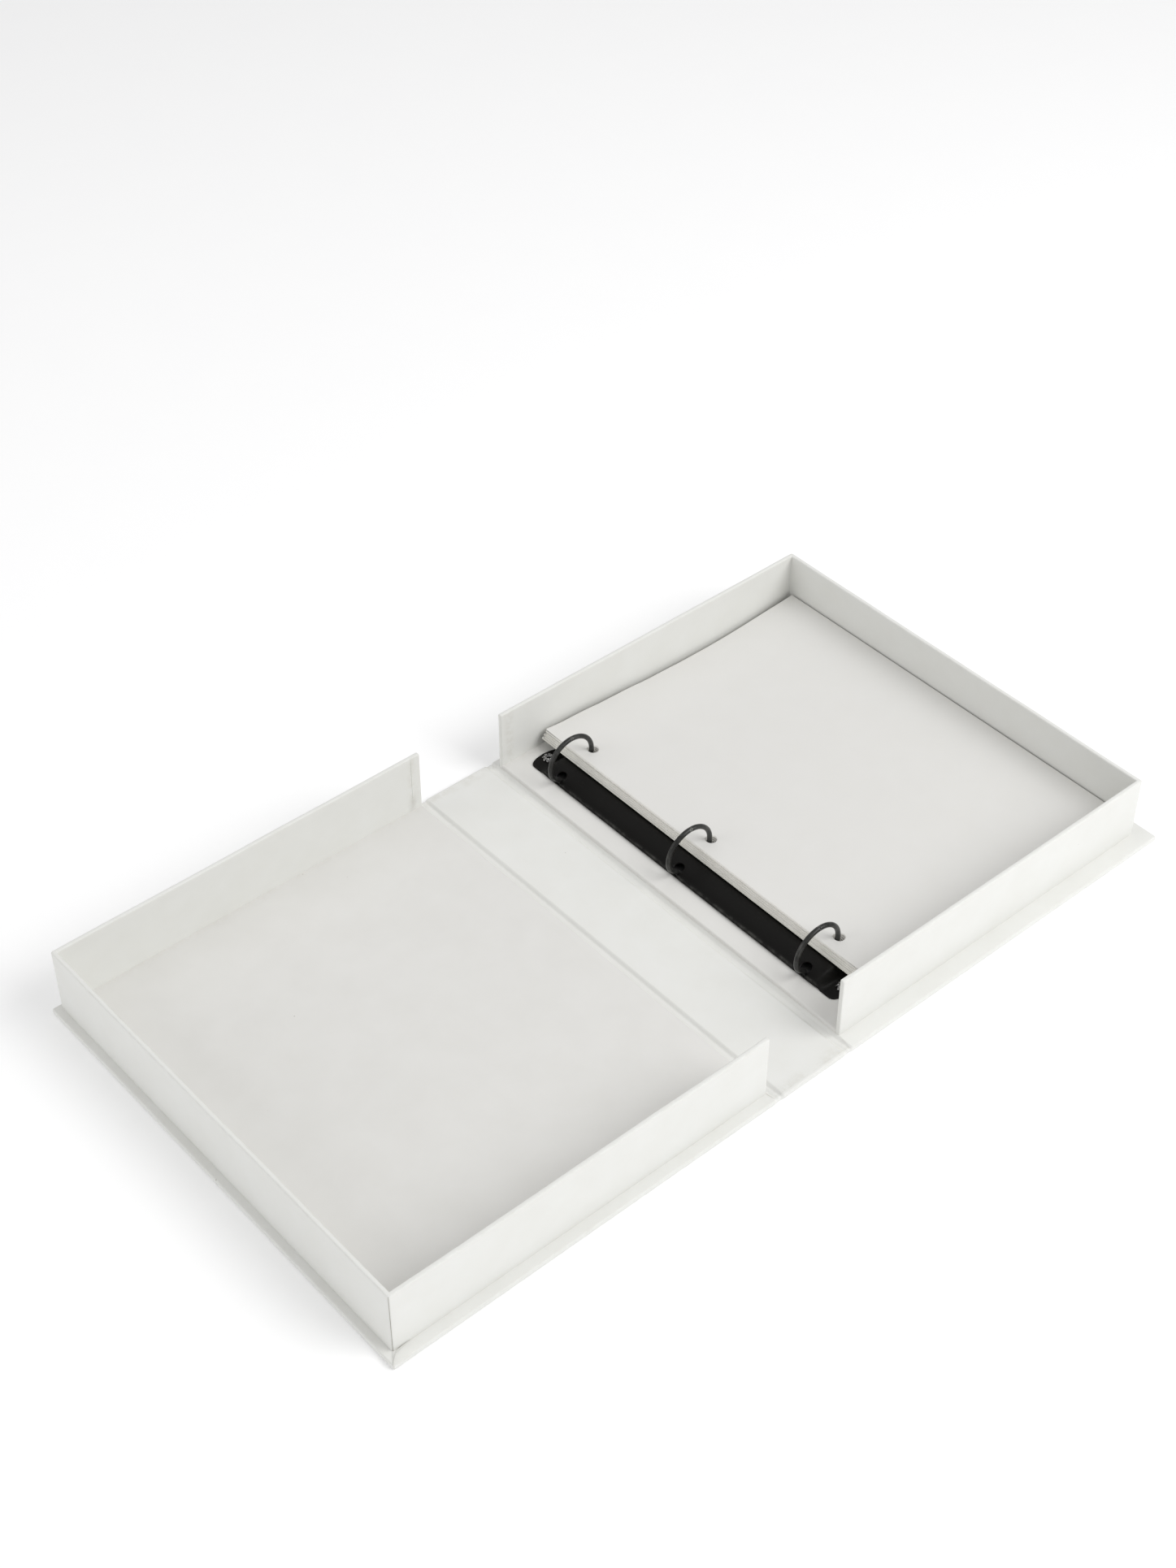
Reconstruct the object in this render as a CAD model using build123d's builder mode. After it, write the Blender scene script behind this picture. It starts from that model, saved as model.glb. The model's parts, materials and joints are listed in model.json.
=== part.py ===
from build123d import *
import math
import os
from dataclasses import dataclass

# A clamshell ring binder box, lying open and flat. Millimetres, +Z up, origin on the table
# under the middle of the spine, +X towards the tray with the rings, +Y towards the head.

# ---------------------------------------------------------------- case
skin = 0.4                                  # covering material, wherever it lies
overcut = 1.0                               # a cutting block runs this far past the faces it opens
board = 2.8                                 # case boards
case_thick = board + 2 * skin
case_half = 158.5                           # half of the case's height, along Y
axis_x = 26.5                               # both joint axes lie this far from the spine's middle
axis_z = skin                               # and on the inner face of the outer covering
cover_length = 265.6                        # joint axis to foredge
cover_edge = axis_x + cover_length
spine_gap = 2.8                             # joint axis to the lined edge of the spine board
cover_gap = 3.3                             # joint axis to the lined edge of a cover board
foot_gap = 0.5                              # the lining stops this short of the joint axis
turn_in = 16.0                              # covering folded over onto the inner face
flap = 16.0                                 # lining glued on each cover board

# ---------------------------------------------------------------- trays
wall_board = 2.0
wall = wall_board + 2 * skin
floor_card = 2.2
floor_thick = floor_card + skin
tray_y = 2.4                                # the trays sit a little towards the head
floor_z = case_thick + floor_thick          # the inside floor of both trays


@dataclass
class Side:
    """One cover with its tray: distances run outwards from the spine."""
    name: str
    sign: int
    near: float
    length: float
    width: float
    wall_height: float

    @property
    def far(self):
        return self.near + self.length

    @property
    def half(self):
        return self.width / 2

    @property
    def top(self):
        return case_thick + self.wall_height

    def across(self, start, end):
        """An X span given outwards from the spine, as (low, high)."""
        return tuple(sorted((self.sign * start, self.sign * end)))


left = Side("left", -1, near=axis_x + 3.7, length=257.0, width=307.8, wall_height=44.6)
right = Side("right", 1, near=axis_x + 3.5, length=252.9, width=299.6, wall_height=43.4)

# ---------------------------------------------------------------- ring mechanism
ring_x = 56.0                               # centre line of the mechanism
ring_y = 5.2                                # its middle ring
ring_pitch = 107.95                         # three-hole sheets
ring_z = 20.9                               # centre of the round rings
ring_radius = 16.6                          # to the middle of the wire
wire_radius = 1.6
tip_gap = 0.05                              # each half stops this short of the middle
round_turn = 105.0                          # degrees of round wire from the top of the ring
knee_radius = 8.0                           # tighter bend below it
leg_lean = 50.0                             # degrees from upright of the straight leg to the blade
leg_past = 2.0                              # the leg is drawn this far below the blade, then cut
tongue_radius = 0.55
tongue_length = 0.8
socket_radius = 0.9
socket_depth = 1.0

cover_half = 12.0                           # half of the cover's width
cover_rise = 4.2                            # of its domed top above the rim
rim_height = 2.8
cover_sheet = 0.8
lip = 1.8                                   # rolled edge turned in under the blades
dome_half = 118.0                           # half of the domed stretch
ramp = 6.5                                  # where the dome runs down to the end plate
end_half = 12.7                             # half width of the flared ends
end_round = 5.8                             # how far the rounded end stands past its rivet
end_sheet = 0.9
end_crown = 0.18                            # the end plate is this much lower at its edges
spring_drop = 0.1                           # the dome springs this much lower inside
ramp_wall = 1.5                             # the hollow stops this short of the ramp's foot
ramp_hollow = 0.15                          # and is this low there

blade_thick = 0.9
blade_half_length = 116.5
pivot_offset = 10.9                         # blade hinge line from the centre line
pivot_height = 1.9                          # of the hinge line above the tray floor
pivot_z = floor_z + pivot_height
blade_gap = 0.15                            # from each blade to the centre line
blade_reach = pivot_offset - blade_gap
blade_tilt = 5.0                            # inner edges lie low while the rings are closed
foot_radius = 1.15                          # ring foot through the blade
foot_fit = 0.03
foot_head_radius = 1.5
foot_head = 0.35

slot_offset = 7.8                           # round part of each slot
slot_radius = 3.3
notch_half = 2.2                            # the slot's way out through the rim
notch_height = 1.5                          # of the notch's floor above the tray floor
notch_floor = floor_z + notch_height

rivet_spacing = 129.6                       # from the middle ring
rivet_radius = 2.0
rivet_bore = 1.45
rivet_hole = 2.05
rivet_head_radius = 4.5
rivet_head = 0.5
head_air = 0.1                              # round a rivet head in the floor card
star_radius = 4.1
star_height = 0.5
star_cut = 0.7
petals = 8

# ---------------------------------------------------------------- sheets
sheet_width = 215.9
sheet_height = 279.4
hole_radius = 3.75
hole_offset = 10.8                          # hole centre from the binding edge
bundle_count = 5
bundle_thick = 1.14
bundle_air = 0.05
top_sheet_thick = 0.25
headroom = 60.0                             # taller than anything in the trays
binding_low = 60.25                          # binding edge of the lowest sheets
binding_high = 63.2                         # and of the highest, further along the rings
# underside of the lowest sheet: up on the mechanism at the binding edge, down on the floor,
# and up a little at the foredge
rest_line = [(57.0, 13.8), (105.0, 10.7), (150.0, 8.1), (190.0, 6.6), (230.0, 7.5), (280.0, 11.1)]

ring_names = {"tail": -1, "middle": 0, "head": 1}

os.makedirs("parts", exist_ok=True)


def save(piece, name):
    piece.part.label = name
    export_step(piece.part, f"parts/{name}.step")


def section_at(y):
    """An upright plane across the object at y: its first axis is X and its second is Z."""
    return Plane(origin=(0, y, 0), x_dir=(1, 0, 0), z_dir=(0, -1, 0))


def block(x_span, y_span, z_span, mode=Mode.ADD):
    """A rectangular block between the given limits, added to the part being built."""
    with BuildSketch(Plane.XY.offset(z_span[0])) as plan:
        with Locations((sum(x_span) / 2, sum(y_span) / 2)):
            Rectangle(x_span[1] - x_span[0], y_span[1] - y_span[0])
    extrude(plan.sketch, amount=z_span[1] - z_span[0], mode=mode)


def slab(name, x_span, y_span, z_span):
    with BuildPart() as piece:
        block(x_span, y_span, z_span)
    save(piece, name)


# ================================================================ case
def cover_board(side):
    slab(
        f"{side.name}_cover_board",
        side.across(axis_x + cover_gap + skin, cover_edge - skin),
        (-case_half + skin, case_half - skin),
        (skin, skin + board),
    )


def outer_wrap(side):
    """Outer covering of a cover: underside, three edges and three turn-ins."""
    inner_y = (-case_half + skin, case_half - skin)
    with BuildPart() as wrap:
        block(side.across(axis_x, cover_edge), (-case_half, case_half), (0, case_thick))
        block(
            side.across(axis_x - overcut, cover_edge - skin),
            inner_y,
            (skin, case_thick - skin),
            Mode.SUBTRACT,
        )
        block(
            side.across(axis_x - overcut, cover_edge - turn_in),
            (-case_half + turn_in, case_half - turn_in),
            (skin, case_thick + overcut),
            Mode.SUBTRACT,
        )
        block(
            side.across(axis_x - overcut, axis_x + cover_gap + flap),
            inner_y,
            (skin, case_thick + overcut),
            Mode.SUBTRACT,
        )
        block(
            side.across(axis_x - overcut, axis_x + cover_gap),
            (-case_half - overcut, case_half + overcut),
            (skin, case_thick + overcut),
            Mode.SUBTRACT,
        )
    save(wrap, f"{side.name}_outer_wrap")


def hinge_flap(side):
    """Inner lining beside a joint: down in the joint, up the board's edge and over its face."""
    edge = axis_x + cover_gap
    y_span = (-case_half + skin, case_half - skin)
    with BuildPart() as lining:
        block(side.across(axis_x + foot_gap, edge), y_span, (skin, 2 * skin))
        block(side.across(edge, edge + skin), y_span, (skin, case_thick))
        block(side.across(edge + skin, edge + flap), y_span, (case_thick - skin, case_thick))
    save(lining, f"{side.name}_hinge_flap")


def infill(side):
    slab(
        f"{side.name}_infill",
        side.across(axis_x + cover_gap + flap, cover_edge - turn_in),
        (-case_half + turn_in, case_half - turn_in),
        (case_thick - skin, case_thick),
    )


def spine_pieces():
    edge = axis_x - spine_gap
    y_span = (-case_half + skin, case_half - skin)
    slab("spine_board", (-edge + skin, edge - skin), y_span, (skin, skin + board))
    with BuildPart() as wrap:
        block((-axis_x, axis_x), (-case_half, case_half), (0, skin))
        for end in (-1, 1):
            end_span = tuple(sorted((end * case_half, end * (case_half - skin))))
            block((-edge, edge), end_span, (skin, case_thick))
    save(wrap, "spine_outer_wrap")
    with BuildPart() as lining:
        block((-axis_x + foot_gap, axis_x - foot_gap), y_span, (skin, 2 * skin))
        block((-edge, edge), y_span, (skin, case_thick))
        block((-edge + skin, edge - skin), y_span, (skin, skin + board), Mode.SUBTRACT)
    save(lining, "spine_liner")


# ================================================================ trays
def rivet_holes(radius, z_span):
    """Both rivet holes, cut in the part being built."""
    with BuildSketch(Plane.XY.offset(z_span[0])) as holes:
        with Locations(*[(ring_x, ring_y + end * rivet_spacing) for end in (-1, 1)]):
            Circle(radius)
    extrude(holes.sketch, amount=z_span[1] - z_span[0], mode=Mode.SUBTRACT)


def tray_floor(side):
    board_half = side.half - skin - wall_board
    y_span = (tray_y - board_half, tray_y + board_half)
    x_span = side.across(side.near + skin, side.far - skin - wall_board)
    with BuildPart() as card:
        block(x_span, y_span, (case_thick, case_thick + floor_card))
        if side is right:
            rivet_holes(rivet_hole, (case_thick - overcut, floor_z + overcut))
            rivet_holes(rivet_head_radius + head_air, (case_thick - overcut, case_thick + rivet_head))
    save(card, f"{side.name}_floor_board")
    with BuildPart() as paper:
        block(x_span, y_span, (case_thick + floor_card, floor_z))
        block(side.across(side.near, side.near + skin), y_span, (case_thick, floor_z))
        if side is right:
            rivet_holes(rivet_hole, (case_thick - overcut, floor_z + overcut))
    save(paper, f"{side.name}_floor_liner")


def tray_walls(side):
    z_span = (case_thick, side.top - skin)
    inner = side.far - skin - wall_board
    outer_half = side.half - skin
    slab(
        f"{side.name}_foredge_wall",
        side.across(inner, side.far - skin),
        (tray_y - outer_half, tray_y + outer_half),
        z_span,
    )
    for name, end in (("head", 1), ("tail", -1)):
        outer = tray_y + end * outer_half
        y_span = tuple(sorted((outer, outer - end * wall_board)))
        slab(f"{side.name}_{name}_wall", side.across(side.near + skin, inner), y_span, z_span)


def wall_paper(side):
    """One strip of covering over the outside, the top and the inside of the three walls."""
    def spread(cut):
        return (tray_y - side.half + cut, tray_y + side.half - cut)

    with BuildPart() as paper:
        block(side.across(side.near, side.far), spread(0), (case_thick, side.top))
        block(
            side.across(side.near - overcut, side.far - wall),
            spread(wall),
            (case_thick, side.top),
            Mode.SUBTRACT,
        )
        with BuildSketch(Plane.XY.offset(case_thick)):
            for start, end, cut, mode in (
                (side.near + skin, side.far - skin, skin, Mode.ADD),
                (side.near - overcut, side.far - skin - wall_board, skin + wall_board, Mode.SUBTRACT),
            ):
                low, high = side.across(start, end)
                with Locations(((low + high) / 2, tray_y)):
                    Rectangle(high - low, 2 * (side.half - cut), mode=mode)
        extrude(amount=side.wall_height - skin, mode=Mode.SUBTRACT)
        block(
            side.across(side.near - overcut, side.far - skin - wall_board),
            spread(skin + wall_board),
            (case_thick, floor_z),
            Mode.SUBTRACT,
        )
    save(paper, f"{side.name}_wall_paper")


# ================================================================ ring mechanism
def dome_outline(half, rim, rise, base):
    """A closed dome section on the current sketch: straight rims under a shallow arc."""
    low = floor_z + base
    spring = floor_z + rim
    with BuildLine() as outline:
        Line((ring_x - half, low), (ring_x - half, spring))
        ThreePointArc((ring_x - half, spring), (ring_x, spring + rise), (ring_x + half, spring))
        Line((ring_x + half, spring), (ring_x + half, low))
        Line((ring_x + half, low), (ring_x - half, low))
    make_face(outline.line.edges())


def ring_slot(side_sign, y):
    """Slot for a ring half: a round window and a notch out through the rim."""
    depth = cover_rise + rim_height + overcut
    with BuildSketch(Plane.XY.offset(notch_floor)) as keyhole:
        with Locations((ring_x + side_sign * slot_offset, y)):
            Circle(slot_radius)
        notch_length = cover_half + overcut - slot_offset
        with Locations((ring_x + side_sign * (slot_offset + notch_length / 2), y)):
            Rectangle(notch_length, 2 * notch_half)
    extrude(keyhole.sketch, amount=depth, mode=Mode.SUBTRACT)


def end_plate(end):
    """Flat rounded end of the cover with its rivet hole, and the ramp down to it."""
    start = ring_y + end * dome_half
    foot = ring_y + end * (dome_half + ramp)
    rivet_y = ring_y + end * rivet_spacing
    inner_half = cover_half - cover_sheet
    with BuildSketch(section_at(start)) as dome:
        dome_outline(cover_half, rim_height, cover_rise, 0)
    with BuildSketch(section_at(foot)) as low_end:
        dome_outline(end_half, end_sheet - end_crown, end_crown, 0)
    loft([dome.sketch, low_end.sketch])
    with BuildSketch(section_at(start)) as dome_inside:
        dome_outline(inner_half, rim_height - spring_drop, cover_rise - cover_sheet, -overcut)
    with BuildSketch(section_at(foot - end * ramp_wall)) as low_inside:
        dome_outline(inner_half, ramp_hollow, ramp_hollow, -overcut)
    loft([dome_inside.sketch, low_inside.sketch], mode=Mode.SUBTRACT)
    with BuildSketch(Plane.XY.offset(floor_z)) as outline:
        with Locations((ring_x, (foot + rivet_y) / 2)):
            Rectangle(2 * end_half, abs(rivet_y - foot))
        with Locations((ring_x, rivet_y)):
            Ellipse(end_half, end_round)
    extrude(outline.sketch, amount=end_sheet)


def ring_cover():
    inner_half = cover_half - cover_sheet
    with BuildPart() as cover:
        with BuildSketch(section_at(ring_y + dome_half)):
            dome_outline(cover_half, rim_height, cover_rise, 0)
        extrude(amount=2 * dome_half)
        with BuildSketch(section_at(ring_y + dome_half)):
            dome_outline(inner_half, rim_height - spring_drop, cover_rise - cover_sheet, cover_sheet)
            with Locations((ring_x, floor_z)):
                Rectangle(2 * (cover_half - lip), 3 * cover_sheet)
        extrude(amount=2 * dome_half, mode=Mode.SUBTRACT)
        for end in (-1, 1):
            end_plate(end)
        rivet_holes(rivet_hole, (floor_z - overcut, floor_z + rim_height + cover_rise))
        for turn in ring_names.values():
            for side_sign in (-1, 1):
                ring_slot(side_sign, ring_y + turn * ring_pitch)
    save(cover, "ring_cover")


def ring_rivets():
    """Two hollow rivets: head under the tray floor, star-clinched above the cover."""
    clinch_z = floor_z + end_sheet
    with BuildPart() as rivets:
        for end in (-1, 1):
            y = ring_y + end * rivet_spacing
            with BuildSketch(Plane.XY.offset(case_thick)):
                with Locations((ring_x, y)):
                    Circle(rivet_head_radius)
            extrude(amount=rivet_head)
            with BuildSketch(Plane.XY.offset(case_thick + rivet_head)):
                with Locations((ring_x, y)):
                    Circle(rivet_radius)
            extrude(amount=clinch_z - case_thick - rivet_head)
            with BuildSketch(Plane.XY.offset(clinch_z)):
                with Locations((ring_x, y)):
                    Circle(star_radius)
                    with PolarLocations((star_radius + rivet_radius + star_cut) / 2, petals):
                        Rectangle(star_radius - rivet_radius, star_cut, mode=Mode.SUBTRACT)
            extrude(amount=star_height)
            with BuildSketch(Plane.XY.offset(case_thick + rivet_head)):
                with Locations((ring_x, y)):
                    Circle(rivet_bore)
            extrude(amount=floor_z, mode=Mode.SUBTRACT)
    save(rivets, "ring_rivets")


def blade_plane(side_sign, lift):
    """Plane of a blade: origin on its hinge line, first axis towards the centre line."""
    tilt = math.radians(blade_tilt)
    inwards = Vector(-side_sign * math.cos(tilt), 0, -math.sin(tilt))
    up = Vector(-side_sign * math.sin(tilt), 0, math.cos(tilt))
    hinge = Vector(ring_x + side_sign * pivot_offset, ring_y, pivot_z)
    return Plane(origin=hinge + up * lift, x_dir=inwards, z_dir=up)


def knee_middle():
    """Middle of a ring's knee: its distance from the centre line and its height."""
    turn = math.radians(round_turn)
    reach = ring_radius - knee_radius
    return reach * math.sin(turn), ring_z + reach * math.cos(turn)


def leg_start():
    """Where the knee ends and the straight leg starts: distance out and height."""
    lean = math.radians(leg_lean)
    out, height = knee_middle()
    return out + knee_radius * math.cos(lean), height - knee_radius * math.sin(lean)


def leg_out(z):
    """Distance of a ring's leg from the centre line at a height."""
    out, height = leg_start()
    return out - (height - z) * math.tan(math.radians(leg_lean))


def foot_reach():
    """Distance along the blade from its hinge line to the ring feet."""
    return pivot_offset - leg_out(pivot_z + blade_thick / 2)


def blade(name, side_sign):
    with BuildPart() as plate:
        with BuildSketch(blade_plane(side_sign, -blade_thick / 2)):
            with Locations((blade_reach / 2, 0)):
                Rectangle(blade_reach, 2 * blade_half_length)
            with Locations(*[(foot_reach(), turn * ring_pitch) for turn in ring_names.values()]):
                Circle(foot_radius + foot_fit, mode=Mode.SUBTRACT)
        extrude(amount=blade_thick)
    save(plate, name)


def ring_half(name, side_sign, y):
    """Half of a ring: round from its tip, a knee, and a leg to a foot riveted through the blade."""
    top_plane = blade_plane(side_sign, blade_thick / 2)
    along = y - ring_y
    tip_turn = math.degrees(tip_gap / ring_radius)
    start = 90 - side_sign * tip_turn
    knee_out, knee_height = knee_middle()
    leg_out_high, leg_high = leg_start()
    leg_low = pivot_z - leg_past
    tip = Vector(ring_x + side_sign * tip_gap, y, ring_z + ring_radius)
    with BuildPart() as ring:
        with BuildLine(section_at(y)) as path:
            CenterArc((ring_x, ring_z), ring_radius, start, -side_sign * (round_turn - tip_turn))
            CenterArc(
                (ring_x + side_sign * knee_out, knee_height),
                knee_radius,
                90 - side_sign * round_turn,
                -side_sign * (90 + leg_lean - round_turn),
            )
            Line(
                (ring_x + side_sign * leg_out_high, leg_high),
                (ring_x + side_sign * leg_out(leg_low), leg_low),
            )
        with BuildSketch(Plane(origin=tip, z_dir=(side_sign, 0, 0))):
            Circle(wire_radius)
        sweep(path=path.wires()[0])
        split(bisect_by=top_plane, keep=Keep.TOP)
        # the blade's own second axis runs towards -Y on one side
        local_y = along * top_plane.y_dir.Y
        with BuildSketch(top_plane):
            with Locations((foot_reach(), local_y)):
                Circle(foot_radius)
        extrude(amount=-blade_thick)
        with BuildSketch(top_plane.offset(-blade_thick)):
            with Locations((foot_reach(), local_y)):
                Circle(foot_head_radius)
        extrude(amount=-foot_head)
        if side_sign < 0:
            with BuildSketch(Plane(origin=tip, z_dir=(1, 0, 0))):
                Circle(tongue_radius)
            extrude(amount=tongue_length)
        else:
            with BuildSketch(Plane(origin=tip - Vector(overcut, 0, 0), z_dir=(1, 0, 0))):
                Circle(socket_radius)
            extrude(amount=overcut + socket_depth, mode=Mode.SUBTRACT)
    save(ring, name)


# ================================================================ sheets
def sheets(name, thick, lift, binding):
    """A punched run of sheets lying along the rest line, lifted, with its own binding edge."""
    low_line = [(x, z + lift) for x, z in rest_line]
    high_line = [(x, z + thick) for x, z in reversed(low_line)]
    head_edge = ring_y + sheet_height / 2
    y_span = (head_edge - sheet_height, head_edge)
    with BuildPart() as run:
        with BuildSketch(section_at(head_edge)):
            with BuildLine():
                Spline(*low_line)
                Line(low_line[-1], high_line[0])
                Spline(*high_line)
                Line(high_line[-1], low_line[0])
            make_face()
        extrude(amount=sheet_height)
        block((binding, binding + sheet_width), y_span, (0, headroom), Mode.INTERSECT)
        with BuildSketch(Plane.XY):
            with Locations(*[(binding + hole_offset, ring_y + turn * ring_pitch) for turn in (-1, 0, 1)]):
                Circle(hole_radius)
        extrude(amount=headroom, mode=Mode.SUBTRACT)
    save(run, name)


def sheet_stack():
    fan = (binding_high - binding_low) / bundle_count
    for step in range(bundle_count):
        sheets(
            f"page_bundle_{step + 1}",
            bundle_thick,
            step * (bundle_thick + bundle_air),
            binding_low + step * fan,
        )
    sheets("top_sheet", top_sheet_thick, bundle_count * (bundle_thick + bundle_air), binding_high)


for side in (left, right):
    cover_board(side)
    outer_wrap(side)
    hinge_flap(side)
    infill(side)
    tray_floor(side)
    tray_walls(side)
    wall_paper(side)
spine_pieces()
ring_cover()
ring_rivets()
for side in (left, right):
    blade(f"{side.name}_blade", side.sign)
    for ring_name, turn in ring_names.items():
        ring_half(f"{side.name}_ring_{ring_name}", side.sign, ring_y + turn * ring_pitch)
sheet_stack()
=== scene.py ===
import json
import math
import random

import bmesh
import bpy
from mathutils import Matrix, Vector, noise


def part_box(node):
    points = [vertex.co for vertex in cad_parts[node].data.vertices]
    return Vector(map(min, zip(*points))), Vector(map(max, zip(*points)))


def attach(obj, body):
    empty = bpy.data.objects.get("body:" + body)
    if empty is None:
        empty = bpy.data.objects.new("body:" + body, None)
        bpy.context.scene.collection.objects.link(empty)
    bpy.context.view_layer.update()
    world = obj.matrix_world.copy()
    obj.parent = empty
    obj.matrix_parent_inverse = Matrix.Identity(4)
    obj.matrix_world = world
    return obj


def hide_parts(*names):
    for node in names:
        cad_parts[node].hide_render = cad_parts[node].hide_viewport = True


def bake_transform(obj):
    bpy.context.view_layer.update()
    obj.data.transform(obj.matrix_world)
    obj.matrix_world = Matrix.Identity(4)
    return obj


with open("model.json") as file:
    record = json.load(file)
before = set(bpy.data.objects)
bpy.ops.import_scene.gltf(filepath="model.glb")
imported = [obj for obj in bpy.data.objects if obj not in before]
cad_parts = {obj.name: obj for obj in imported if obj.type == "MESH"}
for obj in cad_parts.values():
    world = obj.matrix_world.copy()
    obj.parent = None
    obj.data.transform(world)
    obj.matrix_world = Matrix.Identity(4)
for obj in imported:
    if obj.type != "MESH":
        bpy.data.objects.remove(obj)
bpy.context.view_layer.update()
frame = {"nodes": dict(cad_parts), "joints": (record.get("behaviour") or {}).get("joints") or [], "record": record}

# A white paper-covered clamshell ring binder box, open and flat. Sizes below are millimetres;
# make_piece turns them into the frame's metres. "Out" is the distance from the spine's middle.
MM = 0.001
dice = random.Random(7)


def box_mm(node):
    low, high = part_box(node)
    return low / MM, high / MM


def joint_at(name):
    joint = next(j for j in frame["joints"] if j["name"] == name)
    return Vector(joint["pos_m"]) / MM


# ---------------------------------------------------------------- places taken from the frame
wrap_high = box_mm("right_outer_wrap")[1]
case_top = wrap_high.z
case_edge = wrap_high.x
case_half = wrap_high.y
axis_out = joint_at("spine_hinge").x
axis_z = joint_at("spine_hinge").z
spine_high = box_mm("spine_board")[1]
cover_board_low = box_mm("right_cover_board")[0]
floor_top = box_mm("right_floor_liner")[1].z
ring_mount = next(m for m in frame["record"]["mounts"] if m["name"] == "ring_set")
mechanism = Vector(ring_mount["pos_m"]) / MM
wire_low, wire_high = box_mm("left_ring_middle")
wire_radius = (wire_high.y - wire_low.y) / 2
ring_radius = wire_high.z - wire_radius - mechanism.z
head_ring_y = sum(p.y for p in box_mm("left_ring_head")) / 2
ring_pitch = head_ring_y - mechanism.y
ring_names = {"tail": -1, "middle": 0, "head": 1}
blade_axis_z = joint_at("right_rings").z
rivet_low = box_mm("ring_rivets")[0]

# ---------------------------------------------------------------- maker's sizes
skin = 0.4                      # covering material
edge_round = 0.9                # soft edge where the covering goes round a board
corner_round = 1.3              # of the tray corners, seen from above
case_corner = 0.7               # of the case's own corners
joint_floor = 1.9               # top of the covering at the bottom of a joint
lining_setback = 1.6            # the lining stops this far inside the case's ends
lining_flap = 16.0              # lining glued onto each cover
lining_proud = 0.14             # it stands this far above the covering
wall_thick = 2.8
wall_round = 0.95               # over a wall's top
end_turn_in = 7.0               # covering turned round a wall's free end
turn_in_proud = 0.22
split_run = 11.0                # length of the split at the left cover's tail corner
corner_mark = 98.0              # station of the open seam down a tray's corner
seam_depth = 0.9
sheet_thick = 0.185             # one shown sheet, thicker than a real one
sheet_pitch = 0.19              # from one sheet to the next in a run
run_pitch = 1.19                # from one run of sheets to the next
top_run = 6                     # the last run is the single top sheet
# how far each run's ends stand along the rings, so that the stack is stepped
run_shifts = (0.0, 1.3, -0.6, 1.0, -1.0, 0.5, 0.8)
top_curl = 0.6                  # lift of the top sheet's corners
sheets_per_bundle = 6
hole_radius = 3.75
hole_inset = 10.8               # hole centre from the binding edge
slot_out = 7.8                  # round window of a ring slot, from the centre line
slot_radius = 3.3
notch_half = 2.2
notch_height = 1.5
cover_sheet = 0.8
cover_lip = 1.8
bead = 0.9                      # rolled edge of the ring cover
dome_half = 118.0
dome_ramp = 6.5
rivet_out = 129.6
end_round = 5.8
body_half = 12.0
end_half = 12.7
plate_half = 11.9               # rounded end plate under each rivet
rim_height = 2.8
dome_rise = 4.2
end_rim = 0.72
end_rise = 0.18
blade_thick = 0.9
round_turn = 105.0              # degrees of round wire from the top of a ring
knee_radius = 8.0               # tighter bend below it
leg_lean = 50.0                 # degrees from upright of its straight leg


# ================================================================ mesh helpers
def smooth(t):
    t = min(1.0, max(0.0, t))
    return t * t * (3 - 2 * t)


def lerp(a, b, t):
    return a + (b - a) * t


def spread(start, end, count):
    """count values from start to end, both included."""
    return [lerp(start, end, i / (count - 1)) for i in range(count)]


def ripple(x, y, seed, length, height):
    """Gentle unevenness of glued paper: a smooth bump field of the given wave length."""
    return height * noise.noise(Vector((x / length, y / length, seed * 7.31)))


def make_piece(name, points, faces, finishes, crease=38, edge_faces=()):
    """A closed, smooth-shaded mesh whose sharp bends stay crisp. Its bend_wear_and_sheen value is high on bends:
    paper shows it as abrasion marks, steel as a painted highlight.
    """
    mesh = bpy.data.meshes.new(name)
    mesh.from_pydata([Vector(p) * MM for p in points], [], faces)
    for finish in finishes:
        mesh.materials.append(finish)
    for index in edge_faces:
        mesh.polygons[index].material_index = 1
    shape = bmesh.new()
    shape.from_mesh(mesh)
    bmesh.ops.recalc_face_normals(shape, faces=shape.faces)
    bend_wear_and_sheen = shape.verts.layers.float.new("bend_wear_and_sheen")
    for edge in shape.edges:
        edge.smooth = len(edge.link_faces) == 2 and edge.calc_face_angle(0) < math.radians(crease)
    for face in shape.faces:
        face.smooth = True
    for vert in shape.verts:
        # down the middle of the spine two halves meet flat, and nothing bends there
        bends = 0 if abs(vert.co.x) < MM else 18
        vert[bend_wear_and_sheen] = min(1.0, max(0.0, (vert.calc_shell_factor() - 1) * bends))
    shape.to_mesh(mesh)
    shape.free()
    piece = bpy.data.objects.new(name, mesh)
    bpy.context.scene.collection.objects.link(piece)
    return piece


def loft(rings):
    """Points and faces of a skin over closed rings of equal length."""
    count = len(rings[0])
    points = [p for ring in rings for p in ring]
    faces = []
    for r in range(len(rings) - 1):
        for k in range(count):
            a = r * count + k
            b = r * count + (k + 1) % count
            faces.append((a, b, b + count, a + count))
    return points, faces


def cap_across(start, count):
    """Closes a ring whose two halves mirror each other with a strip from half to half."""
    return [
        (start + i, start + i + 1, start + count - 2 - i, start + count - 1 - i)
        for i in range(count // 2 - 1)
    ]


def closed_loft(rings):
    points, faces = loft(rings)
    count = len(rings[0])
    faces += cap_across(0, count)
    faces += cap_across((len(rings) - 1) * count, count)
    return points, faces


def grid(rows, columns):
    """Faces of a rectangular grid of points, row by row."""
    return [
        (r * columns + c, r * columns + c + 1, (r + 1) * columns + c + 1, (r + 1) * columns + c)
        for r in range(rows - 1)
        for c in range(columns - 1)
    ]


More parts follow.
